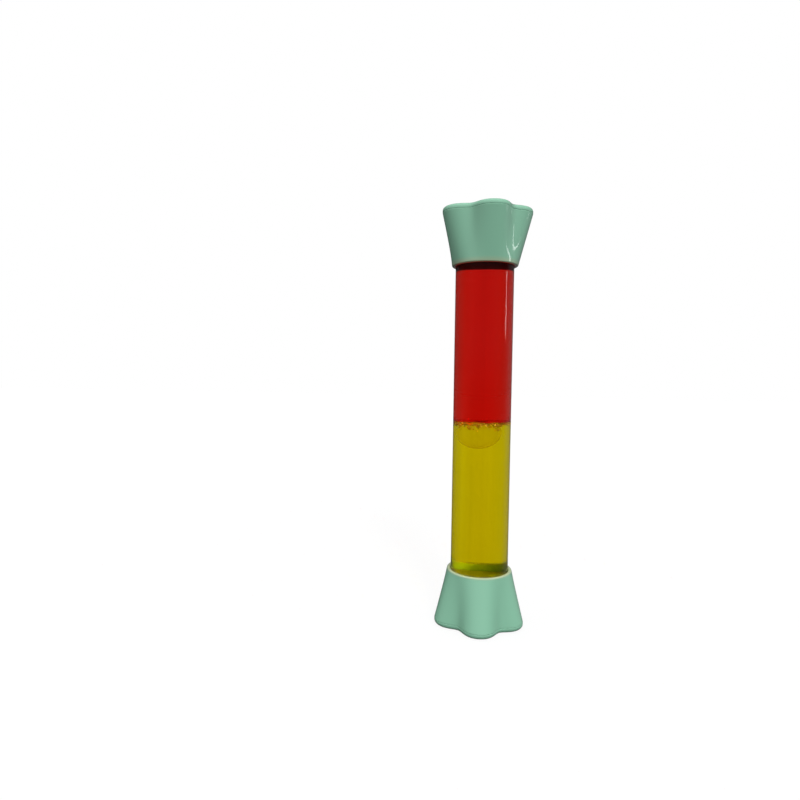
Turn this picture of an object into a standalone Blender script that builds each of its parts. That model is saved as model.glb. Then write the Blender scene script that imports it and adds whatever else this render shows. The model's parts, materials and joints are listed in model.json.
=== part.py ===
"""Sensory bottle: a sealed clear tube of two liquids, with a flower-shaped cap on each end.

Metres, +Z up. The origin is the centre of the lower end plate's flat underside, and the
tube's axis is Z. An end of the bottle (end plate, cap shell, plug and seals) is modelled
standing on its own outer face, and its parent empty turns it over for the upper end.
"""
import math

import bmesh
import bpy

# Whole bottle
TOTAL_HEIGHT = 0.2500
GAP = 0.0003                # clearance between pieces that touch or fit

# Tube
TUBE_OUTER_R = 0.0174
TUBE_WALL = 0.0016
TUBE_EDGE = 0.0004          # chamfer on the tube's cut ends

# Cap shells: a round neck on the tube that flares out into lobes
CAP_HEIGHT = 0.0333         # from the bottle's end face to the neck's edge
CAP_WALL = 0.0020
NECK_WALL = 0.0019
LOBE_COUNT = 5
TIP_FLARE = 0.0080          # how far a lobe's tip stands out past the neck
VALLEY_FLARE = 0.0021       # how far the valley between two lobes stands out
LOBE_FULLNESS = 0.11        # 0 is a plain wave, more makes broad lobes and tight valleys
LIP_ROUND = 0.0008          # outer edge of the neck
MOUTH_CHAMFER = 0.0004      # inner edge of the neck
SLEEVE_WALL = 0.0016        # wall of the socket that holds the tube
SHELF_WIDTH = 0.0045        # ledge in the socket that carries the plug
SHELF_THICKNESS = 0.0020
HOLLOW_END_DEPTH = 0.0012   # a lobe's hollow ends where only this much room is left
HOLLOW_EDGE_DEPTH = 0.0010  # room left at a hollow's two sides
RIB_THICKNESS = 0.0020      # least rib between two hollows, at the sleeve
LOWER_CAP_TURN = math.radians(1.6)    # nearest lobe, turned from -Y towards +X
UPPER_CAP_TURN = math.radians(12.8)

# End plates
PLATE_THICKNESS = 0.0030
PLATE_ROUND = 0.0022        # outer edge that the bottle stands on
SEAM_CHAMFER = 0.0003       # both sides of the seam between shell and plate
TAB_HEIGHT = 0.0025         # tabs that locate the plate in the lobes' hollows
TAB_WALL = 0.0012

# Plugs and their seals
PLUG_SETBACK = 0.0043       # from the neck's edge in to the plug's wet face
PLUG_SHANK = 0.0140         # from the wet face to the flange
PLUG_FLANGE = 0.0020
PLUG_FACE = 0.0035          # thickness behind the wet face
PLUG_WALL = 0.0020          # between a seal's groove and the plug's hollow
PLUG_EDGE = 0.0005
SEAL_WIRE_R = 0.00105
SEAL_COUNT = 2
FIRST_SEAL_DEPTH = 0.0035   # from the wet face to the middle of the first seal
SEAL_PITCH = 0.0046
FILL_HOLE_R = 0.0025
STOPPER_HEAD_R = 0.0045
STOPPER_HEAD = 0.0015

# Liquids, and the drop that has sunk into the top of the layer below
YELLOW_DEPTH = 0.0953
DROP_R = 0.0104
DROP_ABOVE = 0.0078         # from the drop's widest level up to its flattened top
DROP_BELOW = 0.0096         # from its widest level down
DROP_CREST = 0.0006         # how far its top stands above the layer
DROP_OFFSET = 0.0015        # towards -X of the tube's axis

# Facets round each kind of piece
CAP_STEPS = 12 * LOBE_COUNT
TUBE_STEPS = 48
PLUG_STEPS = 32
SEAL_STEPS = 24
SEAL_SIDES = 6
DROP_STEPS = 24
ARC_STEPS = 3
FLARE_STEPS = 4
HOLLOW_STEPS = 4
HOLLOW_POINTS = 11          # along each side of a lobe's hollow
TAB_POINTS = 7
CUT_SPARE = 0.0010          # how far a cutter runs past the face it cuts

# Sizes that follow from the ones above
TUBE_INNER_R = TUBE_OUTER_R - TUBE_WALL
SOCKET_R = TUBE_OUTER_R + GAP
NECK_R = SOCKET_R + NECK_WALL
SLEEVE_R = SOCKET_R + SLEEVE_WALL
SHELF_HOLE_R = SOCKET_R - SHELF_WIDTH
RIM_Z = PLATE_THICKNESS + GAP
PLUG_R = TUBE_INNER_R - GAP
GROOVE_R = PLUG_R - 2 * SEAL_WIRE_R - GAP
HOLLOW_R = GROOVE_R - PLUG_WALL
WET_FACE_Z = CAP_HEIGHT - PLUG_SETBACK
HOLLOW_TOP_Z = WET_FACE_Z - PLUG_FACE
FLANGE_TOP_Z = WET_FACE_Z - PLUG_SHANK
TUBE_END_Z = FLANGE_TOP_Z + GAP
SHELF_TOP_Z = FLANGE_TOP_Z - PLUG_FLANGE - GAP
LAYER_Z = WET_FACE_Z + YELLOW_DEPTH
DROP_Z = LAYER_Z + DROP_CREST - DROP_ABOVE
LOBE_ANGLE = math.pi / LOBE_COUNT     # from a lobe's tip to the valley beside it


def clear_scene():
    for obj in list(bpy.data.objects):
        bpy.data.objects.remove(obj, do_unlink=True)


def srgb(red, green, blue):
    """A screen colour, 0 to 255, as the linear colour that a shader takes."""
    def linear(value):
        value /= 255
        return value / 12.92 if value <= 0.04045 else ((value + 0.055) / 1.055) ** 2.4
    return linear(red), linear(green), linear(blue), 1.0


def material(name, color, roughness, transmission=0.0, ior=1.5):
    mat = bpy.data.materials.new(name)
    mat.use_nodes = True
    shader = mat.node_tree.nodes["Principled BSDF"]
    shader.inputs["Base Color"].default_value = color
    shader.inputs["Roughness"].default_value = roughness
    shader.inputs["Metallic"].default_value = 0.0
    shader.inputs["Transmission Weight"].default_value = transmission
    shader.inputs["IOR"].default_value = ior
    mat.diffuse_color = color
    return mat


def finish_piece(name, bm, mat, parent=None, location=(0, 0, 0)):
    """Turn the faces outwards, make the object, and shade its round faces smooth."""
    bmesh.ops.remove_doubles(bm, verts=bm.verts, dist=1e-7)
    bmesh.ops.recalc_face_normals(bm, faces=bm.faces)
    mesh = bpy.data.meshes.new(name)
    bm.to_mesh(mesh)
    bm.free()
    mesh.shade_smooth()
    mesh.set_sharp_from_angle(angle=math.radians(35))
    mesh.materials.append(mat)
    obj = bpy.data.objects.new(name, mesh)
    bpy.context.collection.objects.link(obj)
    obj.parent = parent
    obj.location = location
    return obj


def hidden_cutter(name, bm, parent=None, location=(0, 0, 0)):
    cutter = finish_piece(name, bm, bpy.data.materials["cutter"], parent, location)
    cutter.hide_render = True
    cutter.display_type = "WIRE"
    return cutter


def boolean(obj, operation, other):
    modifier = obj.modifiers.new(operation.lower(), "BOOLEAN")
    modifier.operation = operation
    modifier.solver = "EXACT"
    modifier.object = other


def turned_mesh(profile, steps):
    """Spin a closed outline of (radius, height) points round Z."""
    bm = bmesh.new()
    verts = [bm.verts.new((radius, 0, z)) for radius, z in profile]
    edges = [bm.edges.new(pair) for pair in zip(verts, verts[1:])]
    if profile[0][0] > 0:
        edges.append(bm.edges.new((verts[-1], verts[0])))
    bmesh.ops.spin(bm, geom=verts + edges, cent=(0, 0, 0), axis=(0, 0, 1),
                   angle=2 * math.pi, steps=steps, use_merge=True)
    return bm


def ring(bm, radius_at, z, steps):
    """Closed loop of points whose radius may follow the angle."""
    verts = []
    for i in range(steps):
        angle = 2 * math.pi * i / steps
        radius = radius_at(angle)
        verts.append(bm.verts.new((radius * math.cos(angle), radius * math.sin(angle), z)))
    return verts


def skin(bm, loops):
    """Join each loop of points to the next with a band of four-sided faces."""
    for near, far in zip(loops, loops[1:]):
        for i in range(len(near)):
            bm.faces.new((near[i - 1], near[i], far[i], far[i - 1]))


def lobe_share(angle):
    """1 at a lobe's tip and 0 in a valley, with a tip at angle 0."""
    turn = LOBE_COUNT * angle
    return (1 + math.cos(turn) + LOBE_FULLNESS * (1 - math.cos(2 * turn))) / 2


def cap_radius(angle, z):
    """Outer radius of the cap: round at the neck, lobed at the rim, straight between."""
    flare = VALLEY_FLARE + (TIP_FLARE - VALLEY_FLARE) * lobe_share(angle)
    return NECK_R + flare * (CAP_HEIGHT - z) / (CAP_HEIGHT - RIM_Z)


def hollow_half_angle(depth, z):
    """How far a lobe's hollow of at least this depth reaches to each side of its tip."""
    near, far = 0.0, LOBE_ANGLE - math.asin(RIB_THICKNESS / 2 / SLEEVE_R)
    if cap_radius(far, z) - CAP_WALL - SLEEVE_R >= depth:
        return far
    for _ in range(40):
        middle = (near + far) / 2
        if cap_radius(middle, z) - CAP_WALL - SLEEVE_R >= depth:
            near = middle
        else:
            far = middle
    return near


def crescent(bm, middle, half_angle, count, outer_at, inner_at, z):
    """Loop round a curved slot: out along its outer side, back along its inner side."""
    angles = [half_angle * (2 * i / (count - 1) - 1) for i in range(count)]
    points = [(outer_at(a), a) for a in angles] + [(inner_at(a), a) for a in reversed(angles)]
    verts = []
    for radius, angle in points:
        x = radius * math.cos(middle + angle)
        y = radius * math.sin(middle + angle)
        verts.append(bm.verts.new((x, y, z)))
    return verts


def cap_hollows():
    """The five tapering hollows in the lobes, open at the rim, as one cutter."""
    top_share = (HOLLOW_END_DEPTH + CAP_WALL + SLEEVE_R - NECK_R) / TIP_FLARE
    top_z = CAP_HEIGHT - top_share * (CAP_HEIGHT - RIM_Z)
    bm = bmesh.new()
    for lobe in range(LOBE_COUNT):
        middle = 2 * LOBE_ANGLE * lobe
        loops = []
        for i in range(HOLLOW_STEPS + 1):
            z = RIM_Z + (top_z - RIM_Z) * i / HOLLOW_STEPS
            half = hollow_half_angle(HOLLOW_EDGE_DEPTH, z)
            for level in [z - CUT_SPARE, z] if i == 0 else [z]:
                loops.append(crescent(bm, middle, half, HOLLOW_POINTS,
                                      lambda a, h=z: cap_radius(a, h) - CAP_WALL,
                                      lambda a: SLEEVE_R, level))
        skin(bm, loops)
        bm.faces.new(loops[0])
        bm.faces.new(loops[-1])
    return bm


def make_cap_shell(name, end, mat):
    """Flared skin, neck and tube socket in one moulding, with a hollow in each lobe."""
    lip = min(LIP_ROUND, 0.45 * NECK_WALL)
    lip_z = CAP_HEIGHT - lip
    bm = bmesh.new()
    rings = [ring(bm, lambda a: cap_radius(a, RIM_Z) - SEAM_CHAMFER, RIM_Z, CAP_STEPS)]
    for i in range(FLARE_STEPS + 1):
        start = RIM_Z + SEAM_CHAMFER
        z = start + (lip_z - start) * i / FLARE_STEPS
        rings.append(ring(bm, lambda a, h=z: cap_radius(a, h), z, CAP_STEPS))
    for i in range(1, ARC_STEPS + 1):
        turn = math.pi / 2 * i / ARC_STEPS
        inset = lip * (1 - math.cos(turn))
        rings.append(ring(bm, lambda a, d=inset: cap_radius(a, lip_z) - d,
                          lip_z + lip * math.sin(turn), CAP_STEPS))
    shelf_z = SHELF_TOP_Z - SHELF_THICKNESS
    inside = [(SOCKET_R + MOUTH_CHAMFER, CAP_HEIGHT), (SOCKET_R, CAP_HEIGHT - MOUTH_CHAMFER),
              (SOCKET_R, SHELF_TOP_Z), (SHELF_HOLE_R, SHELF_TOP_Z),
              (SHELF_HOLE_R, shelf_z), (SOCKET_R, shelf_z), (SOCKET_R, RIM_Z)]
    for radius, z in inside:
        rings.append(ring(bm, lambda a, r=radius: r, z, CAP_STEPS))
    skin(bm, rings + rings[:1])
    shell = finish_piece(name, bm, mat, end)
    boolean(shell, "DIFFERENCE", hidden_cutter(name + "_hollows", cap_hollows(), end))
    return shell


def make_end_plate(name, end, mat):
    """Lobed plate that closes the shell, with a rounded edge and a locating tab per lobe."""
    bm = bmesh.new()
    rings = []
    for i in range(ARC_STEPS + 1):
        turn = math.pi / 2 * i / ARC_STEPS
        inset = PLATE_ROUND * (1 - math.sin(turn))
        rings.append(ring(bm, lambda a, d=inset: cap_radius(a, RIM_Z) - d,
                          PLATE_ROUND * (1 - math.cos(turn)), CAP_STEPS))
    rings.append(ring(bm, lambda a: cap_radius(a, RIM_Z), PLATE_THICKNESS - SEAM_CHAMFER,
                      CAP_STEPS))
    rings.append(ring(bm, lambda a: cap_radius(a, RIM_Z) - SEAM_CHAMFER, PLATE_THICKNESS,
                      CAP_STEPS))
    skin(bm, rings)
    bm.faces.new(rings[0])
    bm.faces.new(rings[-1])
    plate = finish_piece(name, bm, mat, end)
    boolean(plate, "UNION", hidden_cutter(name + "_tabs", plate_tabs(), end))
    return plate


def plate_tabs():
    """Curved tabs that stand on the plate and reach into the hollows of the lobes."""
    bottom_z = PLATE_THICKNESS - min(CUT_SPARE, PLATE_THICKNESS / 2)
    top_z = PLATE_THICKNESS + TAB_HEIGHT
    half = hollow_half_angle(HOLLOW_EDGE_DEPTH + TAB_WALL, top_z)
    inset = CAP_WALL + GAP
    bm = bmesh.new()
    for lobe in range(LOBE_COUNT):
        loops = [crescent(bm, 2 * LOBE_ANGLE * lobe, half, TAB_POINTS,
                          lambda a: cap_radius(a, top_z) - inset,
                          lambda a: cap_radius(a, top_z) - inset - TAB_WALL, z)
                 for z in (bottom_z, top_z)]
        skin(bm, loops)
        bm.faces.new(loops[0])
        bm.faces.new(loops[-1])
    return bm


def seal_heights():
    return [WET_FACE_Z - FIRST_SEAL_DEPTH - SEAL_PITCH * i for i in range(SEAL_COUNT)]


def make_plug(name, end, mat, bore):
    """Hollow plug with a flange on the tube's end and a groove for each seal."""
    outline = [(bore, WET_FACE_Z), (PLUG_R - PLUG_EDGE, WET_FACE_Z),
               (PLUG_R, WET_FACE_Z - PLUG_EDGE)]
    half = SEAL_WIRE_R + GAP
    for z in seal_heights():
        outline += [(PLUG_R, z + half), (GROOVE_R, z + half),
                    (GROOVE_R, z - half), (PLUG_R, z - half)]
    flange_z = FLANGE_TOP_Z - PLUG_FLANGE
    outline += [(PLUG_R, FLANGE_TOP_Z), (TUBE_OUTER_R, FLANGE_TOP_Z), (TUBE_OUTER_R, flange_z),
                (HOLLOW_R, flange_z), (HOLLOW_R, HOLLOW_TOP_Z), (bore, HOLLOW_TOP_Z)]
    return finish_piece(name, turned_mesh(outline, PLUG_STEPS), mat, end)


def make_seal(name, end, mat, z):
    """Rubber ring in a plug's groove, against the tube's wall."""
    outline = []
    for i in range(SEAL_SIDES):
        turn = 2 * math.pi * (i + 0.5) / SEAL_SIDES
        outline.append((PLUG_R - SEAL_WIRE_R + SEAL_WIRE_R * math.cos(turn),
                        SEAL_WIRE_R * math.sin(turn)))
    return finish_piece(name, turned_mesh(outline, SEAL_STEPS), mat, end, (0, 0, z))


def make_stopper(name, end, mat):
    """Headed pin that closes the fill hole from the plug's dry side."""
    pin_r = FILL_HOLE_R - GAP
    head_z = HOLLOW_TOP_Z - GAP
    outline = [(0, WET_FACE_Z - GAP), (pin_r, WET_FACE_Z - GAP), (pin_r, head_z),
               (STOPPER_HEAD_R, head_z), (STOPPER_HEAD_R, head_z - STOPPER_HEAD),
               (0, head_z - STOPPER_HEAD)]
    return finish_piece(name, turned_mesh(outline, SEAL_STEPS), mat, end)


def make_end(prefix, mats, turn, upper):
    """All the pieces of one end, under an empty that stands the end in its place."""
    end = bpy.data.objects.new(prefix + "_end", None)
    bpy.context.collection.objects.link(end)
    end.location = (0, 0, TOTAL_HEIGHT if upper else 0)
    end.rotation_euler = (math.pi if upper else 0, 0, turn - math.pi / 2)
    make_end_plate(prefix + "_end_plate", end, mats["mint"])
    make_cap_shell(prefix + "_cap", end, mats["mint"])
    make_plug(prefix + "_plug", end, mats["inner"], FILL_HOLE_R if upper else 0)
    for place, z in zip(("inner", "outer"), seal_heights()):
        make_seal(prefix + "_plug_" + place + "_seal", end, mats["rubber"], z)
    if upper:
        make_stopper("fill_stopper", end, mats["inner"])


def make_tube(mat):
    top_z = TOTAL_HEIGHT - TUBE_END_Z
    outline = [(TUBE_OUTER_R - TUBE_EDGE, TUBE_END_Z), (TUBE_OUTER_R, TUBE_END_Z + TUBE_EDGE),
               (TUBE_OUTER_R, top_z - TUBE_EDGE), (TUBE_OUTER_R - TUBE_EDGE, top_z),
               (TUBE_INNER_R + TUBE_EDGE, top_z), (TUBE_INNER_R, top_z - TUBE_EDGE),
               (TUBE_INNER_R, TUBE_END_Z + TUBE_EDGE), (TUBE_INNER_R + TUBE_EDGE, TUBE_END_Z)]
    return finish_piece("tube", turned_mesh(outline, TUBE_STEPS), mat)


def drop_mesh(spare):
    """Round drop, flatter above its widest level than below, grown by spare all over."""
    bm = bmesh.new()
    bmesh.ops.create_uvsphere(bm, u_segments=DROP_STEPS, v_segments=DROP_STEPS // 2, radius=1)
    for vert in bm.verts:
        height = DROP_ABOVE if vert.co.z > 0 else DROP_BELOW
        vert.co.x *= DROP_R + spare
        vert.co.y *= DROP_R + spare
        vert.co.z *= height + spare
    return bm


def make_liquids(mats):
    """Yellow layer below, red layer above, and the yellow drop in its pocket between them."""
    place = (-DROP_OFFSET, 0, DROP_Z)
    pocket = hidden_cutter("drop_pocket", drop_mesh(GAP), None, place)
    layers = [("yellow_liquid", mats["yellow"], WET_FACE_Z + GAP, LAYER_Z - GAP / 2),
              ("red_liquid", mats["red"], LAYER_Z + GAP / 2, TOTAL_HEIGHT - WET_FACE_Z - GAP)]
    for name, mat, low, high in layers:
        outline = [(0, low), (PLUG_R, low), (PLUG_R, high), (0, high)]
        layer = finish_piece(name, turned_mesh(outline, TUBE_STEPS), mat)
        boolean(layer, "DIFFERENCE", pocket)
    finish_piece("yellow_drop", drop_mesh(0), mats["yellow"], None, place)


def make_materials():
    return {
        "cutter": material("cutter", srgb(128, 128, 128), 0.5),
        "mint": material("mint_plastic", srgb(133, 190, 165), 0.28),
        "clear": material("clear_plastic", srgb(245, 247, 248), 0.03, 1.0, 1.49),
        "inner": material("white_plastic", srgb(225, 224, 216), 0.45),
        "rubber": material("black_rubber", srgb(38, 38, 40), 0.6),
        "red": material("red_liquid", srgb(186, 18, 12), 0.0, 0.9, 1.45),
        "yellow": material("yellow_liquid", srgb(188, 168, 4), 0.0, 0.9, 1.36),
    }


def main():
    clear_scene()
    mats = make_materials()
    make_tube(mats["clear"])
    make_liquids(mats)
    make_end("lower", mats, LOWER_CAP_TURN, upper=False)
    make_end("upper", mats, UPPER_CAP_TURN, upper=True)


main()
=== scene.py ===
"""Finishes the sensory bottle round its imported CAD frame.

The frame is loaded first and stays as it is. Round it go a clear tube, two flower-shaped
caps with their end covers, the red and yellow liquids, the drop that has just sunk through
their border and the droplets along it, and a white studio. It is laid out as an add-on and
run as a script. Metres, +Z up, with the origin under the middle of the lower cap.
"""
import json
import math
import random

import bmesh
import bpy
from bpy.props import FloatProperty, FloatVectorProperty, IntProperty, PointerProperty
from bpy.types import Operator, Panel, PropertyGroup
from mathutils import Matrix, Vector, noise

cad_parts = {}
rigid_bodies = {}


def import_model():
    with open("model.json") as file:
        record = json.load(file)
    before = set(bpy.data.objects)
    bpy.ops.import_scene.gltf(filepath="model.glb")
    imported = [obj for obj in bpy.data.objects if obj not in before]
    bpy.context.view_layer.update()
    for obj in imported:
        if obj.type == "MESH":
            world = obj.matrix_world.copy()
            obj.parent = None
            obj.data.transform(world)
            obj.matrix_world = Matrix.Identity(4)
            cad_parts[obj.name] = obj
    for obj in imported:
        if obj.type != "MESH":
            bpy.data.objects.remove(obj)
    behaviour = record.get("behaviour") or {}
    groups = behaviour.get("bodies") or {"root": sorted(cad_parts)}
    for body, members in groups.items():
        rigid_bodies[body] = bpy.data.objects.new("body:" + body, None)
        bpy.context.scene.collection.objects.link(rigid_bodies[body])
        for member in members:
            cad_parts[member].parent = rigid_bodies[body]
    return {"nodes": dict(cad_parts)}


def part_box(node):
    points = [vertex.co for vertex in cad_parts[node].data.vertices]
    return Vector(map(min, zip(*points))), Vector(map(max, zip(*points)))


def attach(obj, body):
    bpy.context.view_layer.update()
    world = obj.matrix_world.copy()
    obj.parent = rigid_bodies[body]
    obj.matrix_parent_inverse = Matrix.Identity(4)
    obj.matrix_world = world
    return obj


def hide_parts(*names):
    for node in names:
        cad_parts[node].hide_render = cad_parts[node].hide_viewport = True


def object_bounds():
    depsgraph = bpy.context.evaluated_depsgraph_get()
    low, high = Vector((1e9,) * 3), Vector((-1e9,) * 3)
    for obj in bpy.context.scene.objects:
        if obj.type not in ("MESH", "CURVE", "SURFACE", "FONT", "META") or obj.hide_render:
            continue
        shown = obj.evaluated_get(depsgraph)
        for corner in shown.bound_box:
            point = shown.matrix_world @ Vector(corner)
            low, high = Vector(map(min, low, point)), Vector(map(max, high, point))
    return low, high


bl_info = {
    "name": "Sensory bottle",
    "version": (1, 0, 0),
    "blender": (4, 5, 0),
    "location": "3D View > Sidebar > Sensory bottle",
    "description": "Models and finishes a two-liquid sensory bottle round its CAD frame",
    "category": "Add Mesh",
}

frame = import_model()
CAD_BOX = [list(corner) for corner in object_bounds()]

TUBE_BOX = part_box("tube")
CAP_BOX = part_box("lower_cap")
PLUG_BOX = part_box("lower_plug")
UPPER_PLUG_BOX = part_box("upper_plug")
DROP_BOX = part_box("yellow_drop")
BOTTLE_HEIGHT = CAD_BOX[1][2]

# Points round each kind of piece
ROUND_STEPS = 256
CAP_STEPS = 300
DROP_STEPS = 96

# Steps along the caps' flare and along each quarter of a rounding
FLARE_STEPS = 14
SEAM_STEPS = 3
LIP_STEPS = 6
MOUTH_STEPS = 4
COVER_STEPS = 8
SUPPORT = 0.00025           # from a rounding to the ring that keeps it out of flat faces

# Edges that turn by less than these look smooth
SMOOTH_ANGLE = math.radians(35)
TUBE_SMOOTH_ANGLE = math.radians(8)     # keeps the wall's shading clear of its cut ends
LIQUID_SMOOTH_ANGLE = math.radians(12)
MERGE_DISTANCE = 1e-7

# Where the liquids end
BORE_RADIUS = 0.0158        # inside of the tube
LIQUID_RADIUS = 0.01585     # a little into the wall, so that no air shows between them
PLUG_OVERLAP = 0.00003      # a little into the plugs, for the same reason
BORDER_OVERLAP = 0.00003    # and each a little past their border
SKIRT_RADIUS = 0.0154       # inside of the skirt that each liquid has round its plug
SKIRT_DEPTH = 0.0024        # how far that skirt reaches past the plug's face
WALL_SUPPORT = 0.0050       # from the border to the ring that keeps the wall's shading level
BORDER_RINGS = (0.01575, 0.0156, 0.0154, 0.0151, 0.0147, 0.0142, 0.0136, 0.0129, 0.0121,
                0.0112, 0.0102, 0.0091, 0.0079, 0.0066, 0.0052, 0.0037, 0.0022, 0.0009)

# The border's shape, with waves as pairs of a height and a number to the metre
SWELLS = ((0.00030, 160), (0.00012, 520))
CREEP_DEPTH = 0.0028        # how far the wall draws the border down
CREEP_REACH = 0.0008        # the distance from the wall over which that fades
CREEP_SHARE = 0.7           # the share of that depth round the wall, before its waves
CREEP_WAVES = ((1.1, 300), (0.9, 900))
LEAST_CREEP = 0.10          # the least that the waves leave of that share

# The large drop and the droplets along the border
DROP_BELOW = 0.55           # the share of the drop's height that is under its widest part
DROPLET_SEED = 41
DROPLET_LEAST = 0.00016     # radius of the smallest
DROPLET_GROWTH = 0.00064    # how much larger the largest is
DROPLET_GAP = 0.0001        # between droplet and wall
DROPLET_DRIFT = 0.0006      # how much further in a droplet may be
DROPLET_DEPTH = 0.0034      # how far down they hang
CLUSTER_SHARE = 0.6         # the share of that depth round the wall, before its waves
CLUSTER_WAVES = ((1.4, 120),)
LEAST_CLUSTER = 0.25        # the least that the waves leave of that share
DROPLET_RISE = 0.0012       # how far the highest stand above the drawn-down border
DROPLET_COVER = 0.0002      # yellow left between a droplet and the level border
DROPLET_FLATTEST = 0.75     # height of the flattest, as a share of its width

# How strongly each finish bends light
MINT_IOR = 1.50
TUBE_IOR = 1.49
RED_IOR = 1.38
YELLOW_IOR = 1.36
SKIN_IOR = 1.10             # low, so that the drop shows as an outline
DROPLET_IOR = 1.03

SKIN_DENSITY = 330          # how much of its colour the drop's skin takes, per metre
DROPLET_CLEARNESS = 0.60    # the rest of a droplet is matt
OUTER_GLOSS = 0.8           # the tube's outside gloss, as a share of what its plastic has
LOWER_PAINTED_LIGHT_DEPTH = 0.0013    # how far the painted light from the yellow reaches into the lower lip
UPPER_PAINTED_LIGHT_DEPTH = 0.0032    # how far the painted light from the red reaches into the upper lip
DARKEST = 1e-9              # stands for no light, which has no logarithm


def srgb(red, green, blue):
    """A screen colour, 0 to 255, as the linear colour that a shader takes."""
    def linear(value):
        value /= 255
        return value / 12.92 if value <= 0.04045 else ((value + 0.055) / 1.055) ** 2.4
    return linear(red), linear(green), linear(blue)


def length(name, default, description):
    """A size in metres that the user can change."""
    return FloatProperty(name=name, default=default, min=0, precision=5,
                         unit="LENGTH", subtype="DISTANCE", description=description)


def colour(name, default, description):
    """A colour that the user can change."""
    return FloatVectorProperty(name=name, default=default, min=0, max=1, size=3,
                               subtype="COLOR", description=description)


class BottleSizes(PropertyGroup):
    """Sizes of the bottle's pieces."""
    tube_radius: length("Tube radius", TUBE_BOX[1].x, "Outside of the clear tube")
    tube_wall: length("Tube wall", 0.0016, "Thickness of the clear tube's wall")
    tube_edge: length("Tube edge", 0.0004, "Rounding of the tube's cut ends")
    cap_height: length("Cap height", CAP_BOX[1].z, "From the end face to the neck's edge")
    cap_seam: length("Cap seam", CAP_BOX[0].z, "Height at which the cap shell starts")
    neck_radius: length("Neck radius", 0.0196, "Outside of the cap's round neck")
    socket_radius: length("Socket radius", 0.0177, "Bore that holds the tube")
    tip_flare: length("Tip flare", 0.0080, "How far a lobe's tip stands past the neck")
    valley_flare: length("Valley flare", 0.0021, "How far a valley stands past the neck")
    lip_rounding: length("Lip rounding", 0.0009, "Rounding of the neck's outer edge")
    mouth_rounding: length("Mouth rounding", 0.0004, "Rounding of the neck's inner edge")
    seam_rounding: length("Seam rounding", 0.0003, "Rounding on both sides of the seam")
    cover_thickness: length("Cover thickness", 0.0030, "Height of the end cover's edge")
    cover_rounding: length("Cover rounding", 0.0022, "Rounding that the bottle stands on")
    shelf_height: length("Shelf height", 0.0127, "Top of the ledge in the socket")
    shelf_thickness: length("Shelf thickness", 0.0020, "Thickness of that ledge")
    shelf_hole: length("Shelf hole", 0.0132, "Radius of the hole in that ledge")
    layer_height: length("Layer height", 0.1243, "Where the red liquid meets the yellow")
    film: length("Film", 0.0005, "Thickness of the skin round the sunken drop")
    lobe_count: IntProperty(name="Lobes", default=5, min=3, max=9,
                            description="Lobes round each cap")
    lobe_fullness: FloatProperty(name="Lobe fullness", default=0.11, min=0, max=0.3,
                                 description="More makes broad lobes and tight valleys")
    lower_turn: FloatProperty(name="Lower cap turn", default=math.radians(1.6),
                              subtype="ANGLE", description="Nearest lobe, from the front")
    upper_turn: FloatProperty(name="Upper cap turn", default=math.radians(12.8),
                              subtype="ANGLE", description="Nearest lobe, from the front")
    drop_tilt: FloatProperty(name="Drop tilt", default=math.radians(9),
                             subtype="ANGLE", description="Lean of the sunken drop")
    droplet_count: IntProperty(name="Droplets", default=420, min=1, max=800,
                               description="Small drops along the border of the liquids")


class BottleColours(PropertyGroup):
    """Colours of the bottle's finishes."""
    mint: colour("Mint", srgb(128, 181, 154), "Caps and end covers")
    # The lip colour is painted light: it stands for the red and yellow light that comes
    # through the caps' thin lips
    lip: colour("Lip", srgb(158, 173, 142), "Thin lips of the caps, where light comes through")
    red: colour("Red", srgb(228, 18, 8), "Upper liquid, right through the tube")
    yellow: colour("Yellow", srgb(228, 201, 0), "Lower liquid, right through the tube")
    clear: colour("Clear", srgb(250, 251, 252), "Tube")
    white: colour("White", srgb(152, 167, 148), "Plugs and stopper")
    black: colour("Black", srgb(36, 36, 38), "Plug seals")
    film: colour("Film", (0.90, 0.75, 0.5), "Skin of the sunken drop")
    droplet_pale: colour("Pale droplets", (1.0, 0.80, 0.07), "Droplets along the border")
    droplet_deep: colour("Deep droplets", (1.0, 0.54, 0.05), "Droplets along the border")


# Modelling helpers

def deselect_everything():
    """Leave nothing selected, so that the next operator acts on the new piece alone."""
    for obj in bpy.context.view_layer.objects:
        obj.select_set(False)
    bpy.context.view_layer.objects.active = None


def name_new_piece(name):
    """Name the piece just added, and put its place and size into its mesh."""
    piece = bpy.context.object
    piece.name = name
    piece.data.name = name
    bpy.ops.object.transform_apply(location=True, rotation=True, scale=True)
    return piece


def start_ring(name, steps, fill="NOTHING"):
    """A new circle in edit mode, all selected, ready to be put in its place."""
    deselect_everything()
    bpy.ops.mesh.primitive_circle_add(vertices=steps, radius=0.01, fill_type=fill)
    piece = name_new_piece(name)
    bpy.ops.object.mode_set(mode="EDIT")
    bpy.ops.mesh.select_all(action="SELECT")
    return piece


def place_ring(piece, radius_at, height_at):
    """Move the selected points to their radius for their angle, and to their height."""
    mesh = bmesh.from_edit_mesh(piece.data)
    for vert in mesh.verts:
        if vert.select:
            angle = math.atan2(vert.co.y, vert.co.x)
            radius = radius_at(angle)
            x, y = radius * math.cos(angle), radius * math.sin(angle)
            vert.co = (x, y, height_at(x, y))
    bmesh.update_edit_mesh(piece.data)


def extrude_ring(piece, radius_at, height_at):
    """Add a band of faces from the selected ring to a new one."""
    bpy.ops.mesh.extrude_region_move(TRANSFORM_OT_translate={"value": (0, 0, 0)})
    place_ring(piece, radius_at, height_at)


def raise_rings(piece, rings):
    """Put the first ring in place, then extrude through the rest of them."""
    for number, (radius_at, height_at) in enumerate(rings):
        if number:
            extrude_ring(piece, radius_at, height_at)
        else:
            place_ring(piece, radius_at, height_at)


def flat_ring(radius, height):
    """A level, round ring, as a pair of functions."""
    return (lambda angle: radius), (lambda x, y: height)


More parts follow.
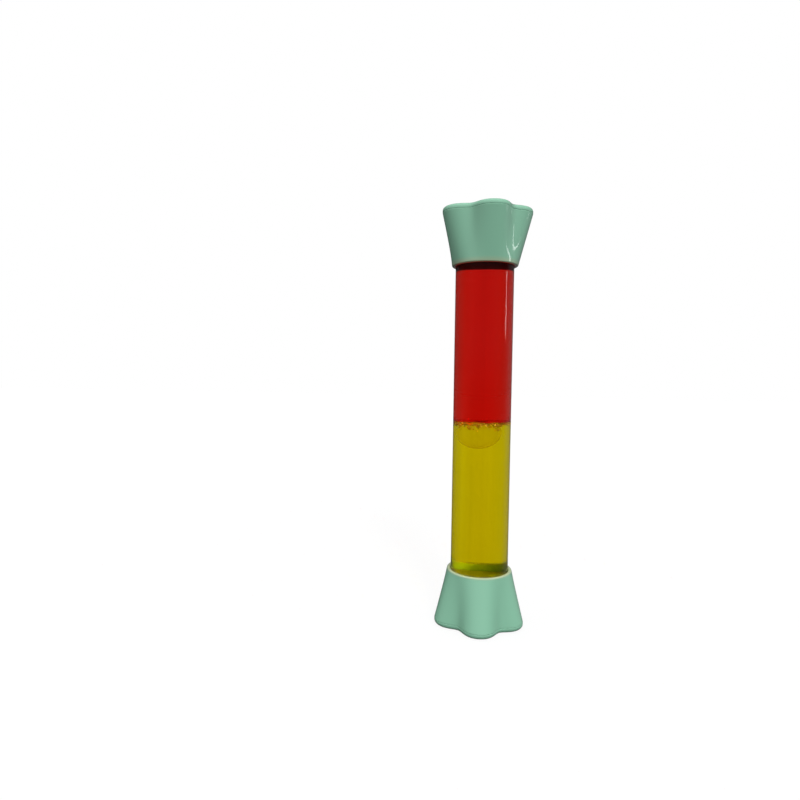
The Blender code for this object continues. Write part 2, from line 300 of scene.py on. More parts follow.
def close_mesh(smooth_angle=SMOOTH_ANGLE):
    """Merge what meets, turn the faces outwards, leave edit mode and smooth the curves."""
    bpy.ops.mesh.select_all(action="SELECT")
    bpy.ops.mesh.remove_doubles(threshold=MERGE_DISTANCE)
    bpy.ops.mesh.normals_make_consistent(inside=False)
    bpy.ops.object.mode_set(mode="OBJECT")
    bpy.ops.object.shade_smooth_by_angle(angle=smooth_angle)


def quarter(count):
    """Angles from 0 to a quarter turn."""
    return [math.pi / 2 * i / count for i in range(count + 1)]


def copy_piece(piece, name):
    """A copy with its own mesh."""
    deselect_everything()
    piece.select_set(True)
    bpy.context.view_layer.objects.active = piece
    bpy.ops.object.duplicate(linked=False)
    return name_new_piece(name)


def stand_end(piece, turn, upper):
    """Turn an end's piece to its lobes' angle, and stand the upper one on its head."""
    deselect_everything()
    piece.select_set(True)
    bpy.context.view_layer.objects.active = piece
    piece.rotation_euler = (math.pi if upper else 0, 0, turn - math.pi / 2)
    piece.location = (0, 0, BOTTLE_HEIGHT if upper else 0)
    bpy.ops.object.transform_apply(location=True, rotation=True, scale=True)


def settle(piece, body, slot, finishes, *nodes):
    """Give a finished piece its finishes and body, and hide the CAD nodes it stands for. The
    slot argument is not used.
    """
    piece.data.materials.clear()
    for finish in finishes:
        piece.data.materials.append(finish)
    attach(piece, body)
    if nodes:
        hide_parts(*nodes)


# Finishes

def new_finish(name):
    """Make a material, and hand over its tree, its main shader and its output."""
    finish = bpy.data.materials.new(name)
    finish.use_nodes = True
    tree = finish.node_tree
    return tree, tree.nodes["Principled BSDF"], tree.nodes["Material Output"]


def finish_named(name):
    """A finish that has been made."""
    return bpy.data.materials[name]


def add_noise(tree, scale, detail=3.0, stretch=None):
    """Noise on the piece's own coordinates in metres, with stretch to draw it out."""
    place = tree.nodes.new("ShaderNodeTexCoord").outputs["Object"]
    if stretch:
        mapping = tree.nodes.new("ShaderNodeMapping")
        mapping.inputs["Scale"].default_value = stretch
        tree.links.new(place, mapping.inputs["Vector"])
        place = mapping.outputs["Vector"]
    pattern = tree.nodes.new("ShaderNodeTexNoise")
    pattern.inputs["Scale"].default_value = scale
    pattern.inputs["Detail"].default_value = detail
    tree.links.new(place, pattern.inputs["Vector"])
    return pattern.outputs["Fac"]


def map_range(tree, value, low, high, start=0.3, stop=0.7):
    """Spread a value between low and high as it goes from start to stop."""
    node = tree.nodes.new("ShaderNodeMapRange")
    node.inputs["From Min"].default_value = start
    node.inputs["From Max"].default_value = stop
    node.inputs["To Min"].default_value = low
    node.inputs["To Max"].default_value = high
    tree.links.new(value, node.inputs["Value"])
    return node.outputs["Result"]


def feed(tree, socket, value):
    """Give a socket another node's output, a number or a colour."""
    if isinstance(value, bpy.types.NodeSocket):
        tree.links.new(value, socket)
    elif isinstance(value, (int, float)):
        socket.default_value = value
    else:
        socket.default_value = (*value, 1)


def blend_colours(tree, share, first, second):
    """Mix two colours, each a plain colour or another node's output."""
    node = tree.nodes.new("ShaderNodeMix")
    node.data_type = "RGBA"
    tree.links.new(share, node.inputs["Factor"])
    feed(tree, node.inputs[6], first)
    feed(tree, node.inputs[7], second)
    return node.outputs[2]


def mix_values(tree, share, first, second):
    """A value between two, each a number or another node's output."""
    node = tree.nodes.new("ShaderNodeMix")
    tree.links.new(share, node.inputs[0])
    feed(tree, node.inputs[2], first)
    feed(tree, node.inputs[3], second)
    return node.outputs[0]


def calculate(tree, operation, first, second=0.0):
    """A Math node on one value or two, each a number or another node's output."""
    node = tree.nodes.new("ShaderNodeMath")
    node.operation = operation
    feed(tree, node.inputs[0], first)
    feed(tree, node.inputs[1], second)
    return node.outputs[0]


def shade(tone, factor):
    """A colour made lighter or darker."""
    return tuple(min(1.0, channel * factor) for channel in tone)


def add_bump(tree, shader, height, distance, strength):
    """Add a bump to the shader's normal, on top of those that it has."""
    bump = tree.nodes.new("ShaderNodeBump")
    bump.inputs["Distance"].default_value = distance
    bump.inputs["Strength"].default_value = strength
    tree.links.new(height, bump.inputs["Height"])
    normal = shader.inputs["Normal"]
    if normal.is_linked:
        tree.links.new(normal.links[0].from_socket, bump.inputs["Normal"])
    tree.links.new(bump.outputs["Normal"], normal)


def painted_light_at_lips(tree):
    """Where the liquids' light is painted onto the caps: 1 at both caps' lips and 0 a little
    way into the caps.
    """
    split = tree.nodes.new("ShaderNodeSeparateXYZ")
    tree.links.new(tree.nodes.new("ShaderNodeTexCoord").outputs["Object"],
                   split.inputs["Vector"])
    height = split.outputs["Z"]
    lower, upper = CAP_BOX[1].z, BOTTLE_HEIGHT - CAP_BOX[1].z
    return calculate(tree, "MINIMUM",
                     map_range(tree, height, 0, 1, lower - LOWER_PAINTED_LIGHT_DEPTH, lower),
                     map_range(tree, height, 1, 0, upper, upper + UPPER_PAINTED_LIGHT_DEPTH))


def mint_finish(tone, painted_lip_light):
    """Satin moulded plastic: faint clouding, fine grain and a soft orange-peel surface, with
    painted light from the liquids on the lips.
    """
    tree, shader, _ = new_finish("satin_mint")
    clouds = map_range(tree, add_noise(tree, scale=22, detail=1), 0, 1)
    grain = map_range(tree, add_noise(tree, scale=2600, detail=2), 0, 1)
    body = blend_colours(tree, clouds, shade(tone, 0.99), shade(tone, 1.01))
    speck = blend_colours(tree, grain, shade(tone, 0.96), shade(tone, 1.03))
    grain_share = map_range(tree, add_noise(tree, scale=120, detail=1), 0.12, 0.18)
    grained = blend_colours(tree, grain_share, body, speck)
    # Painted light: the lips take the lip colour in place of the liquids' glow through them
    tree.links.new(blend_colours(tree, painted_light_at_lips(tree), grained, painted_lip_light),
                   shader.inputs["Base Color"])
    sheen = map_range(tree, add_noise(tree, scale=60, detail=1), 0.42, 0.46)
    tree.links.new(sheen, shader.inputs["Roughness"])
    shader.inputs["IOR"].default_value = MINT_IOR
    shader.inputs["Specular IOR Level"].default_value = 0.75
    shader.inputs["Coat Weight"].default_value = 1.0
    shader.inputs["Coat Roughness"].default_value = 0.06
    peel = add_noise(tree, scale=160, detail=1)
    add_bump(tree, shader, peel, distance=0.00004, strength=0.08)
    pores = add_noise(tree, scale=1900, detail=2)
    add_bump(tree, shader, pores, distance=0.00001, strength=0.2)


def clear_finish(name, tone, gloss):
    """Clear extruded plastic, with faint lines drawn along the tube."""
    tree, shader, _ = new_finish(name)
    lines = add_noise(tree, scale=320, detail=2, stretch=(1, 1, 0.02))
    drawn = map_range(tree, lines, 0, 1)
    tree.links.new(blend_colours(tree, drawn, shade(tone, 0.95), tone),
                   shader.inputs["Base Color"])
    shader.inputs["Roughness"].default_value = 0.0
    shader.inputs["IOR"].default_value = TUBE_IOR
    shader.inputs["Transmission Weight"].default_value = 1.0
    shader.inputs["Specular Tint"].default_value = (gloss, gloss, gloss, 1)
    add_bump(tree, shader, lines, distance=0.000012, strength=0.4)


def absorption(tone, depth):
    """The colour and density of an inside that shows a tone after a depth of it."""
    losses = [-math.log(max(channel, DARKEST)) / depth for channel in tone]
    density = max(losses)
    return tuple(1 - loss / density for loss in losses), density


def liquid_finish(name, ior, absorbed, density):
    """Dyed liquid: its colour comes from its depth, behind a faintly swirled surface."""
    tree, shader, output = new_finish(name)
    swirls = add_noise(tree, scale=26, detail=2, stretch=(1, 1, 2.2))
    swirl = map_range(tree, swirls, 0, 1, 0.35, 0.65)
    tree.links.new(blend_colours(tree, swirl, (0.98, 0.98, 0.98), (1, 1, 1)),
                   shader.inputs["Base Color"])
    shader.inputs["Roughness"].default_value = 0.0
    shader.inputs["IOR"].default_value = ior
    shader.inputs["Transmission Weight"].default_value = 1.0
    shader.inputs["Specular Tint"].default_value = (0, 0, 0, 1)
    volume = tree.nodes.new("ShaderNodeVolumeAbsorption")
    volume.inputs["Color"].default_value = (*absorbed, 1)
    volume.inputs["Density"].default_value = density
    tree.links.new(volume.outputs["Volume"], output.inputs["Volume"])


def droplet_finish(name, pale, deep):
    """Cloudy droplets where the dyes have mixed, part clear and part matt."""
    tree, shader, _ = new_finish(name)
    mottle = map_range(tree, add_noise(tree, scale=420, detail=2), 0, 1)
    tree.links.new(blend_colours(tree, mottle, pale, deep), shader.inputs["Base Color"])
    shader.inputs["Roughness"].default_value = 0.0
    shader.inputs["IOR"].default_value = DROPLET_IOR
    shader.inputs["Transmission Weight"].default_value = DROPLET_CLEARNESS
    shader.inputs["Specular Tint"].default_value = (0, 0, 0, 1)


def inner_finish(name, tone, roughness, grain_scale):
    """Plain moulded plastic or rubber of the parts inside the caps."""
    tree, shader, _ = new_finish(name)
    mottle = map_range(tree, add_noise(tree, grain_scale), 0, 1)
    tree.links.new(blend_colours(tree, mottle, shade(tone, 0.93), shade(tone, 1.04)),
                   shader.inputs["Base Color"])
    patches = add_noise(tree, grain_scale * 2, detail=2)
    tree.links.new(map_range(tree, patches, roughness, roughness + 0.12),
                   shader.inputs["Roughness"])
    grain = add_noise(tree, grain_scale * 3, detail=2)
    add_bump(tree, shader, grain, distance=0.00002, strength=0.4)


def make_finishes(tones):
    """Make every finish of the bottle."""
    across = 2 * BORE_RADIUS
    mint_finish(tones.mint, tones.lip)
    clear_finish("clear_tube_outside", tones.clear, gloss=OUTER_GLOSS)
    clear_finish("clear_tube_bore", tones.clear, gloss=0.0)
    liquid_finish("red_dye", RED_IOR, *absorption(tones.red, across))
    liquid_finish("yellow_dye", YELLOW_IOR, *absorption(tones.yellow, across))
    liquid_finish("drop_skin", SKIN_IOR, tones.film, SKIN_DENSITY)
    droplet_finish("droplet_dye", tones.droplet_pale, tones.droplet_deep)
    inner_finish("white_moulding", tones.white, roughness=0.4, grain_scale=500)
    inner_finish("seal_rubber", tones.black, roughness=0.55, grain_scale=900)


# Shapes shared by several pieces

def lobe_share(sizes, angle):
    """1 at a lobe's tip and 0 in a valley, with a tip at angle 0."""
    turn = sizes.lobe_count * angle
    return (1 + math.cos(turn) + sizes.lobe_fullness * (1 - math.cos(2 * turn))) / 2


def lobed_ring(sizes, height, inset, shown_height):
    """A ring of the cap's flare at one height, drawn in by inset and put at another."""
    spread = (sizes.cap_height - height) / (sizes.cap_height - sizes.cap_seam)

    def radius_at(angle):
        flare = sizes.tip_flare - sizes.valley_flare
        reach = sizes.valley_flare + flare * lobe_share(sizes, angle)
        return sizes.neck_radius + reach * spread - inset
    return radius_at, (lambda x, y: shown_height)


def wavy(x, y, level, waves):
    """A level with waves on it, each a pair of a height and a number to the metre."""
    place = Vector((x, y, 0))
    for height, number in waves:
        level += height * noise.noise(place * number)
    return level


def border_height(x, y):
    """The wavy border of the two liquids, which the wall draws down at its edge."""
    layer = bpy.context.scene.bottle_sizes.layer_height
    from_wall = max(0.0, BORE_RADIUS - math.hypot(x, y))
    ragged = max(LEAST_CREEP, wavy(x, y, CREEP_SHARE, CREEP_WAVES))
    creep = CREEP_DEPTH * ragged * math.exp(-from_wall / CREEP_REACH)
    return layer + wavy(x, y, 0.0, SWELLS) - creep


def liquid_rings(face, skirt, border_step):
    """Rings of a liquid from its plug's face, round the plug and up to the border's middle."""
    layer = bpy.context.scene.bottle_sizes.layer_height
    near_border = layer + math.copysign(WALL_SUPPORT, face - layer)
    rings = [flat_ring(SKIRT_RADIUS, face), flat_ring(SKIRT_RADIUS, skirt),
             flat_ring(LIQUID_RADIUS, skirt), flat_ring(LIQUID_RADIUS, near_border)]
    for radius in (LIQUID_RADIUS,) + BORDER_RINGS:
        rings.append(((lambda angle, r=radius: r),
                      (lambda x, y: border_height(x, y) + border_step)))
    return rings


# Operators

class SENSORYBOTTLE_OT_finishes(Operator):
    """Make every material of the bottle and dress the CAD pieces that stay."""
    bl_idname = "sensory_bottle.finishes"
    bl_label = "Make finishes"

    def execute(self, context):
        make_finishes(context.scene.bottle_colours)
        for name, node in frame["nodes"].items():
            if name.endswith("_seal"):
                finish = finish_named("seal_rubber")
            elif name.endswith("_plug") or name == "fill_stopper":
                finish = finish_named("white_moulding")
            else:
                continue
            for slot in node.material_slots:
                slot.material = finish
        return {"FINISHED"}


class SENSORYBOTTLE_OT_tube(Operator):
    """Model the clear tube with its wall and rounded cut ends."""
    bl_idname = "sensory_bottle.tube"
    bl_label = "Add tube"

    def execute(self, context):
        sizes = context.scene.bottle_sizes
        low, high = TUBE_BOX[0].z, TUBE_BOX[1].z
        deselect_everything()
        bpy.ops.mesh.primitive_cylinder_add(vertices=ROUND_STEPS, radius=sizes.tube_radius,
                                            depth=high - low, end_fill_type="NOTHING",
                                            location=(0, 0, (low + high) / 2))
        tube = name_new_piece("clear_tube")
        wall = tube.modifiers.new("wall", "SOLIDIFY")
        wall.thickness = sizes.tube_wall
        wall.offset = -1
        edges = tube.modifiers.new("cut_edges", "BEVEL")
        edges.width = sizes.tube_edge
        edges.segments = 3
        edges.limit_method = "ANGLE"
        edges.angle_limit = math.radians(60)
        for modifier in ("wall", "cut_edges"):
            bpy.ops.object.modifier_apply(modifier=modifier)
        bpy.ops.object.shade_smooth_by_angle(angle=TUBE_SMOOTH_ANGLE)
        settle(tube, "bottle", "clear_plastic",
               (finish_named("clear_tube_outside"), finish_named("clear_tube_bore")), "tube")
        middle = sizes.tube_radius - sizes.tube_wall / 2
        for face in tube.data.polygons:
            inside = math.hypot(face.center.x, face.center.y) < middle
            face.material_index = 1 if inside else 0
        return {"FINISHED"}


class SENSORYBOTTLE_OT_caps(Operator):
    """Model one flower-shaped cap with its neck and socket, and copy it to the other end."""
    bl_idname = "sensory_bottle.caps"
    bl_label = "Add caps"

    def execute(self, context):
        sizes = context.scene.bottle_sizes
        seam, top = sizes.cap_seam, sizes.cap_height
        lip, mouth, edge = sizes.lip_rounding, sizes.mouth_rounding, sizes.seam_rounding
        rings = []
        for turn in quarter(SEAM_STEPS):
            height = seam - edge * math.cos(turn)
            rings.append(lobed_ring(sizes, seam, edge * (1 - math.sin(turn)), height))
        flare_end = top - lip
        start, stop = seam + SUPPORT, flare_end - SUPPORT
        for i in range(FLARE_STEPS + 1):
            height = start + (stop - start) * i / FLARE_STEPS
            rings.append(lobed_ring(sizes, height, 0, height))
        for turn in quarter(LIP_STEPS):
            rings.append(lobed_ring(sizes, flare_end, lip * (1 - math.cos(turn)),
                                    flare_end + lip * math.sin(turn)))
        bore = sizes.socket_radius
        for turn in quarter(MOUTH_STEPS):
            rings.append(flat_ring(bore + mouth * (1 - math.sin(turn)),
                                   top - mouth * (1 - math.cos(turn))))
        shelf_under = sizes.shelf_height - sizes.shelf_thickness
        for radius, height in ((bore, sizes.shelf_height),
                               (sizes.shelf_hole, sizes.shelf_height),
                               (sizes.shelf_hole, shelf_under), (bore, shelf_under),
                               (bore, seam - edge)):
            rings.append(flat_ring(radius, height))
        lower = start_ring("lower_flower_cap", CAP_STEPS)
        raise_rings(lower, rings + rings[:1])
        close_mesh()
        upper = copy_piece(lower, "upper_flower_cap")
        for cap, end, turn in ((lower, "lower", sizes.lower_turn),
                               (upper, "upper", sizes.upper_turn)):
            stand_end(cap, turn, end == "upper")
            settle(cap, "bottle", "mint_plastic", (finish_named("satin_mint"),),
                   end + "_cap")
        return {"FINISHED"}


class SENSORYBOTTLE_OT_covers(Operator):
    """Model one end cover with its rounded edge, and copy it to the other end."""
    bl_idname = "sensory_bottle.covers"
    bl_label = "Add end covers"

    def execute(self, context):
        sizes = context.scene.bottle_sizes
        round_off, edge = sizes.cover_rounding, sizes.seam_rounding
        top = sizes.cover_thickness
        rings = [lobed_ring(sizes, sizes.cap_seam, round_off + SUPPORT, 0)]
        for turn in quarter(COVER_STEPS):
            rings.append(lobed_ring(sizes, sizes.cap_seam, round_off * (1 - math.sin(turn)),
                                    round_off * (1 - math.cos(turn))))
        for turn in quarter(SEAM_STEPS):
            rings.append(lobed_ring(sizes, sizes.cap_seam, edge * (1 - math.cos(turn)),
                                    top - edge * (1 - math.sin(turn))))
        lower = start_ring("lower_end_cover", CAP_STEPS, "NGON")
        raise_rings(lower, rings)
        close_mesh()
        upper = copy_piece(lower, "upper_end_cover")
        for cover, end, turn in ((lower, "lower", sizes.lower_turn),
                                 (upper, "upper", sizes.upper_turn)):
            stand_end(cover, turn, end == "upper")
            settle(cover, "bottle", "mint_plastic", (finish_named("satin_mint"),),
                   end + "_end_plate")
        return {"FINISHED"}


class SENSORYBOTTLE_OT_liquids(Operator):
    """Model the yellow liquid and the red one above it, with their wavy border."""
    bl_idname = "sensory_bottle.liquids"
    bl_label = "Add liquids"

    def execute(self, context):
        low_face, high_face = PLUG_BOX[1].z, UPPER_PLUG_BOX[0].z
        layers = (
            ("yellow", low_face - PLUG_OVERLAP, low_face - SKIRT_DEPTH, BORDER_OVERLAP),
            ("red", high_face + PLUG_OVERLAP, high_face + SKIRT_DEPTH, -BORDER_OVERLAP),
        )
        for name, face, skirt, border_step in layers:
            layer = start_ring(name + "_layer", ROUND_STEPS, "NGON")
            raise_rings(layer, liquid_rings(face, skirt, border_step))
            bpy.ops.mesh.merge(type="CENTER")
            close_mesh(LIQUID_SMOOTH_ANGLE)
            settle(layer, "bottle", name + "_liquid", (finish_named(name + "_dye"),),
                   name + "_liquid")
        return {"FINISHED"}


class SENSORYBOTTLE_OT_drop(Operator):
    """Model the skin of the drop that has just sunk through the border."""
    bl_idname = "sensory_bottle.drop"
    bl_label = "Add sunken drop"

    def execute(self, context):
        sizes = context.scene.bottle_sizes
        low, high = DROP_BOX
        centre = (low + high) / 2
        radius = (high.x - low.x) / 2
        below = DROP_BELOW * (high.z - low.z)
        above = (high.z - low.z) - below
        deselect_everything()
        bpy.ops.mesh.primitive_uv_sphere_add(segments=DROP_STEPS, ring_count=DROP_STEPS // 2,
                                             radius=1)
        drop = name_new_piece("sunken_drop")
        bpy.ops.object.mode_set(mode="EDIT")
        # The widest ring counts as part of the upper half
        for upper_half, height in ((True, above), (False, below)):
            mesh = bmesh.from_edit_mesh(drop.data)
            for vert in mesh.verts:
                vert.select_set((vert.co.z > -1e-6) == upper_half)
            mesh.select_flush_mode()
            bmesh.update_edit_mesh(drop.data)
            bpy.ops.transform.resize(value=(radius, radius, height),
                                     center_override=(0, 0, 0))
        bpy.ops.mesh.select_all(action="SELECT")
        bpy.ops.transform.rotate(value=sizes.drop_tilt, orient_axis="Y",
                                 center_override=(0, 0, 0))
        bpy.ops.transform.translate(value=(centre.x, centre.y, low.z + below))
        close_mesh()
        skin = drop.modifiers.new("skin", "SOLIDIFY")
        skin.thickness = sizes.film
        skin.offset = -1
        bpy.ops.object.modifier_apply(modifier="skin")
        settle(drop, "drop", "yellow_liquid", (finish_named("drop_skin"),), "yellow_drop")
        return {"FINISHED"}


class SENSORYBOTTLE_OT_droplets(Operator):
    """Model the small droplets that cling to the wall along the border."""
    bl_idname = "sensory_bottle.droplets"
    bl_label = "Add droplets"

    def execute(self, context):
        sizes = context.scene.bottle_sizes
        chance = random.Random(DROPLET_SEED)
        deselect_everything()
        bpy.ops.mesh.primitive_uv_sphere_add(segments=8, ring_count=6, radius=1)
        first = name_new_piece("border_droplets")
        bpy.ops.object.shade_smooth()
        droplets = [first]
        for _ in range(sizes.droplet_count - 1):
            bpy.ops.object.duplicate(linked=False)
            droplets.append(bpy.context.object)
        # The powers make small droplets near the wall and the border the common ones
        for droplet in droplets:
            size = DROPLET_LEAST + DROPLET_GROWTH * chance.random() ** 2.0
            angle = chance.uniform(0, 2 * math.pi)
            from_wall = size + DROPLET_GAP + DROPLET_DRIFT * chance.random() ** 3
            radius = BORE_RADIUS - from_wall
            x, y = radius * math.cos(angle), radius * math.sin(angle)
            cluster = max(LEAST_CLUSTER, wavy(x, y, CLUSTER_SHARE, CLUSTER_WAVES))
            depth = DROPLET_DEPTH * cluster * chance.random() ** 1.5
            level = min(sizes.layer_height - size - DROPLET_COVER,
                        border_height(x, y) + DROPLET_RISE)
            droplet.location = (x, y, level - depth)
            droplet.scale = (size, size, size * chance.uniform(DROPLET_FLATTEST, 1.0))
        for droplet in droplets:
            droplet.select_set(True)
        bpy.context.view_layer.objects.active = first
        bpy.ops.object.join()
        bpy.ops.object.transform_apply(location=True, rotation=True, scale=True)
        settle(first, "bottle", "red_liquid", (finish_named("droplet_dye"),))
        return {"FINISHED"}


class SENSORYBOTTLE_OT_stage(Operator):
    """Set up the white floor, the room, the lamps and the camera."""
    bl_idname = "sensory_bottle.stage"
    bl_label = "Add stage"

    def execute(self, context):
        make_floor()
        make_room()
        make_lamps()
        make_camera()
        scene = context.scene
        scene.view_settings.view_transform = "Standard"
        scene.cycles.max_bounces = 24
        scene.cycles.transmission_bounces = 24
        scene.cycles.blur_glossy = 0
        return {"FINISHED"}


# Stage

CAMERA_PLACE = Vector((0.0, -0.3574, 0.1551))
CAMERA_YAW = -0.1403
CAMERA_PITCH = -0.0535
CAMERA_ROLL = 0.0121
CAMERA_LENS = 26.24

# Azimuths run from the front towards +X
KEY_SIDE = math.radians(22)
KEY_RISE = math.radians(38)         # middle of its light through the tube
STRIP_SIDE = math.radians(95)
STRIP_HEIGHT = 0.322
CARD_SIDE = math.radians(147)       # middle of the white card that gloss shows
RIGHT_SIDE = math.pi / 2

ROOM_FILL = 1.80            # the room's light on the bottle, strongest from above
NECK_FILL = 1.00            # its light through the tube, on the insides of the caps' necks
NECK_KEY = 6.0              # the same from the key light's side
SEEN_THROUGH = 0.665        # the room's level for rays that see it through the bottle
FLOOR_THROUGH = 0.625       # the same for the floor's glow, which its own light adds to
FLOOR_EDGE = 0.955          # the share of that left at the floor's edge, to meet the room's
SIDE_LOSS = 0.42            # how much of either is lost to the sides
ROOM_GLOSS = 0.01           # the dark parts of the room, as gloss shows them
CARD_GLOSS = 0.13           # the white card on the right, behind the bottle
FRONT_GLOSS = 0.08          # the room in front of the bottle, above its middle

# Where those levels start and where they are full: cosines of the angle from their middle
FILL_SPREAD = (-0.2, 0.8)
KEY_SPREAD = (0.88, 0.96)
SIDE_SPREAD = (0.30, 0.95)
CARD_SPREAD = (0.66, 0.84)
FRONT_SPREAD = (0.2, 0.6)
FRONT_RISE = (-0.08, 0.04)          # the same, from straight up

FLOOR_SIZE = 6
FLOOR_TONES = (0.068, 0.068, 0.068), (0.074, 0.074, 0.074)
NEAR_GLOW = 0.88            # what the floor lacks near the bottle to look white
FAR_GLOW = 0.93             # and further off
GLOW_REACH = (0.20, 0.80)   # distances from the bottle between which it changes
EDGE_REACH = (0.8, 2.9)     # the same for FLOOR_EDGE


def seen_white(tree):
    """Two shares: 1 for rays that see the white room straight or through the bottle, and
    1 for rays that see it in gloss. Light that a matt surface gathers is in neither."""
    path = tree.nodes.new("ShaderNodeLightPath")
    seen = calculate(tree, "MAXIMUM", path.outputs["Is Camera Ray"],
                     path.outputs["Is Transmission Ray"])
    direct = calculate(tree, "LESS_THAN", path.outputs["Diffuse Depth"], 0.5)
    return (calculate(tree, "MULTIPLY", seen, direct),
            calculate(tree, "MULTIPLY", path.outputs["Is Glossy Ray"], direct))


def facing(tree, azimuth, rise=0.0):
    """The cosine of the angle between a direction in the room and the one given."""
    place = tree.nodes.new("ShaderNodeTexCoord")
    towards = tree.nodes.new("ShaderNodeVectorMath")
    towards.operation = "DOT_PRODUCT"
    level = math.cos(rise)
    towards.inputs[1].default_value = (level * math.sin(azimuth),
                                       -level * math.cos(azimuth), math.sin(rise))
    tree.links.new(place.outputs["Generated"], towards.inputs[0])
    return towards.outputs["Value"]


def dimmer_sideways(tree, across, level):
    """A level for rays through the bottle, from how far they go sideways."""
    sideways = calculate(tree, "ABSOLUTE", across)
    return map_range(tree, sideways, level, level * (1 - SIDE_LOSS), *SIDE_SPREAD)


def make_room():
    """The room: white to the eye and dimmer through the bottle. Its light comes from above,
    and gloss shows it dark, but for a card on the right and the space in front."""
    world = bpy.data.worlds.new("studio_room")
    bpy.context.scene.world = world
    world.use_nodes = True
    tree = world.node_tree
    background = tree.nodes["Background"]
    background.inputs["Color"].default_value = (1, 1, 1, 1)
    white, glossy = seen_white(tree)
    path = tree.nodes.new("ShaderNodeLightPath")
    upward = facing(tree, 0, math.pi / 2)

    card = map_range(tree, facing(tree, CARD_SIDE), ROOM_GLOSS, CARD_GLOSS, *CARD_SPREAD)
    front = map_range(tree, facing(tree, 0), 0.0, FRONT_GLOSS, *FRONT_SPREAD)
    front = calculate(tree, "MULTIPLY", front, map_range(tree, upward, 0, 1, *FRONT_RISE))
    gloss = calculate(tree, "MAXIMUM", card, front)

    fill = map_range(tree, upward, 0.0, ROOM_FILL, *FILL_SPREAD)
    neck = map_range(tree, facing(tree, KEY_SIDE, KEY_RISE), NECK_FILL, NECK_KEY, *KEY_SPREAD)
    fill = mix_values(tree, path.outputs["Is Transmission Ray"], fill, neck)
    lit = mix_values(tree, glossy, fill, gloss)

    through = dimmer_sideways(tree, facing(tree, RIGHT_SIDE), SEEN_THROUGH)
    shown = mix_values(tree, path.outputs["Is Camera Ray"], through, 1.0)
    tree.links.new(mix_values(tree, white, lit, shown), background.inputs["Strength"])


def floor_glow(tree):
    """What the floor adds to its own light to look white, less of it through the bottle."""
    white, _ = seen_white(tree)
    path = tree.nodes.new("ShaderNodeLightPath")
    place = tree.nodes.new("ShaderNodeTexCoord").outputs["Object"]
    measure = tree.nodes.new("ShaderNodeVectorMath")
    measure.operation = "LENGTH"
    tree.links.new(place, measure.inputs[0])
    distance = measure.outputs["Value"]
    split = tree.nodes.new("ShaderNodeSeparateXYZ")
    tree.links.new(place, split.inputs["Vector"])
    across = calculate(tree, "DIVIDE", split.outputs["X"], distance)

    level = map_range(tree, distance, NEAR_GLOW, FAR_GLOW, *GLOW_REACH)
    towards_edge = map_range(tree, distance, 1, FLOOR_EDGE, *EDGE_REACH)
    dimmed = calculate(tree, "MULTIPLY", towards_edge,
                       dimmer_sideways(tree, across, FLOOR_THROUGH))
    share = mix_values(tree, path.outputs["Is Camera Ray"], dimmed, 1.0)
    return mix_values(tree, white, 0.0, calculate(tree, "MULTIPLY", level, share))


def make_floor():
    """A pale matt floor that keeps the bottle's soft shadow and is white elsewhere."""
    deselect_everything()
    bpy.ops.mesh.primitive_plane_add(size=FLOOR_SIZE)
    floor = name_new_piece("studio_floor")
    tree, shader, output = new_finish("pale_floor")
    tone = map_range(tree, add_noise(tree, scale=3, detail=2), 0, 1)
    tree.links.new(blend_colours(tree, tone, *FLOOR_TONES), shader.inputs["Base Color"])
    shader.inputs["Roughness"].default_value = 0.9
    shader.inputs["Specular IOR Level"].default_value = 0.0
    glow = tree.nodes.new("ShaderNodeEmission")
    tree.links.new(floor_glow(tree), glow.inputs["Strength"])
    both = tree.nodes.new("ShaderNodeAddShader")
    tree.links.new(shader.outputs["BSDF"], both.inputs[0])
    tree.links.new(glow.outputs["Emission"], both.inputs[1])
    tree.links.new(both.outputs["Shader"], output.inputs["Surface"])
    floor.data.materials.append(finish_named("pale_floor"))
    floor.visible_glossy = False


def add_lamp(name, place, aim, width, height, power):
    """A soft rectangular lamp at a place, turned to its aim."""
    light = bpy.data.lights.new(name, "AREA")
    light.shape = "RECTANGLE"
    light.size = width
    light.size_y = height
    light.energy = power
    lamp = bpy.data.objects.new(name, light)
    bpy.context.scene.collection.objects.link(lamp)
    place, aim = Vector(place), Vector(aim)
    lamp.matrix_world = (Matrix.Translation(place)
                         @ (aim - place).to_track_quat("-Z", "Y").to_matrix().to_4x4())
    lamp.visible_camera = False
    return lamp


def around(azimuth, distance, height):
    """A place by its azimuth, its distance from the bottle's axis and its height."""
    return math.sin(azimuth) * distance, -math.cos(azimuth) * distance, height


def make_lamps():
    """A key light from above, and a strip on the right for its streak in the gloss."""
    key = add_lamp("key_softbox", around(KEY_SIDE, distance=1.5, height=1.40),
                   aim=(0, 0, BOTTLE_HEIGHT / 2), width=0.35, height=0.80, power=23.5)
    key.visible_glossy = False
    strip = add_lamp("strip_lamp", around(STRIP_SIDE, distance=1.2, height=STRIP_HEIGHT),
                     aim=(0, 0, STRIP_HEIGHT), width=0.07, height=0.175, power=0.21)
    strip.visible_diffuse = False


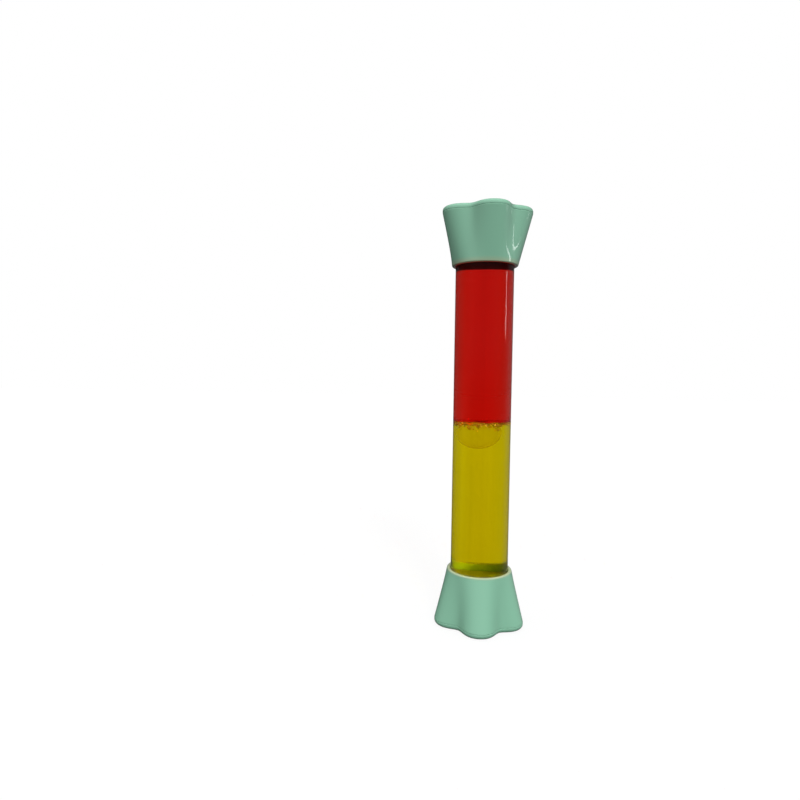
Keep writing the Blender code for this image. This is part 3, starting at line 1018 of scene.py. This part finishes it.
def make_camera():
    """The camera at the photograph's place and angle."""
    forward = Vector((math.sin(CAMERA_YAW), math.cos(CAMERA_YAW), 0))
    right = Vector((math.cos(CAMERA_YAW), -math.sin(CAMERA_YAW), 0))
    upright = Vector((0, 0, 1))
    ahead = forward * math.cos(CAMERA_PITCH) + upright * math.sin(CAMERA_PITCH)
    above = upright * math.cos(CAMERA_PITCH) - forward * math.sin(CAMERA_PITCH)
    across = right * math.cos(CAMERA_ROLL) + above * math.sin(CAMERA_ROLL)
    above = above * math.cos(CAMERA_ROLL) - right * math.sin(CAMERA_ROLL)
    camera = bpy.data.cameras.new("camera")
    camera.lens = CAMERA_LENS
    camera.sensor_width = 36
    camera.clip_start = 0.01
    seat = bpy.data.objects.new("camera", camera)
    bpy.context.scene.collection.objects.link(seat)
    turn = Matrix((across, above, -ahead)).transposed().to_4x4()
    seat.matrix_world = Matrix.Translation(CAMERA_PLACE) @ turn
    bpy.context.scene.camera = seat


OPERATORS = (
    SENSORYBOTTLE_OT_finishes,
    SENSORYBOTTLE_OT_tube,
    SENSORYBOTTLE_OT_caps,
    SENSORYBOTTLE_OT_covers,
    SENSORYBOTTLE_OT_liquids,
    SENSORYBOTTLE_OT_drop,
    SENSORYBOTTLE_OT_droplets,
    SENSORYBOTTLE_OT_stage,
)


class VIEW3D_PT_sensory_bottle(Panel):
    """Sizes, colours and steps of the bottle."""
    bl_label = "Sensory bottle"
    bl_space_type = "VIEW_3D"
    bl_region_type = "UI"
    bl_category = "Sensory bottle"

    def draw(self, context):
        for group in (context.scene.bottle_sizes, context.scene.bottle_colours):
            box = self.layout.box()
            for name in group.bl_rna.properties.keys():
                if name not in ("rna_type", "name"):
                    box.prop(group, name)
        column = self.layout.column(align=True)
        for operator in OPERATORS:
            column.operator(operator.bl_idname)


CLASSES = (BottleSizes, BottleColours) + OPERATORS + (VIEW3D_PT_sensory_bottle,)


def register():
    for cls in CLASSES:
        bpy.utils.register_class(cls)
    bpy.types.Scene.bottle_sizes = PointerProperty(type=BottleSizes)
    bpy.types.Scene.bottle_colours = PointerProperty(type=BottleColours)


def unregister():
    del bpy.types.Scene.bottle_colours
    del bpy.types.Scene.bottle_sizes
    for cls in reversed(CLASSES):
        bpy.utils.unregister_class(cls)


def main():
    register()
    bpy.ops.sensory_bottle.finishes()
    bpy.ops.sensory_bottle.tube()
    bpy.ops.sensory_bottle.caps()
    bpy.ops.sensory_bottle.covers()
    bpy.ops.sensory_bottle.liquids()
    bpy.ops.sensory_bottle.drop()
    bpy.ops.sensory_bottle.droplets()
    bpy.ops.sensory_bottle.stage()


if __name__ == "__main__":
    main()
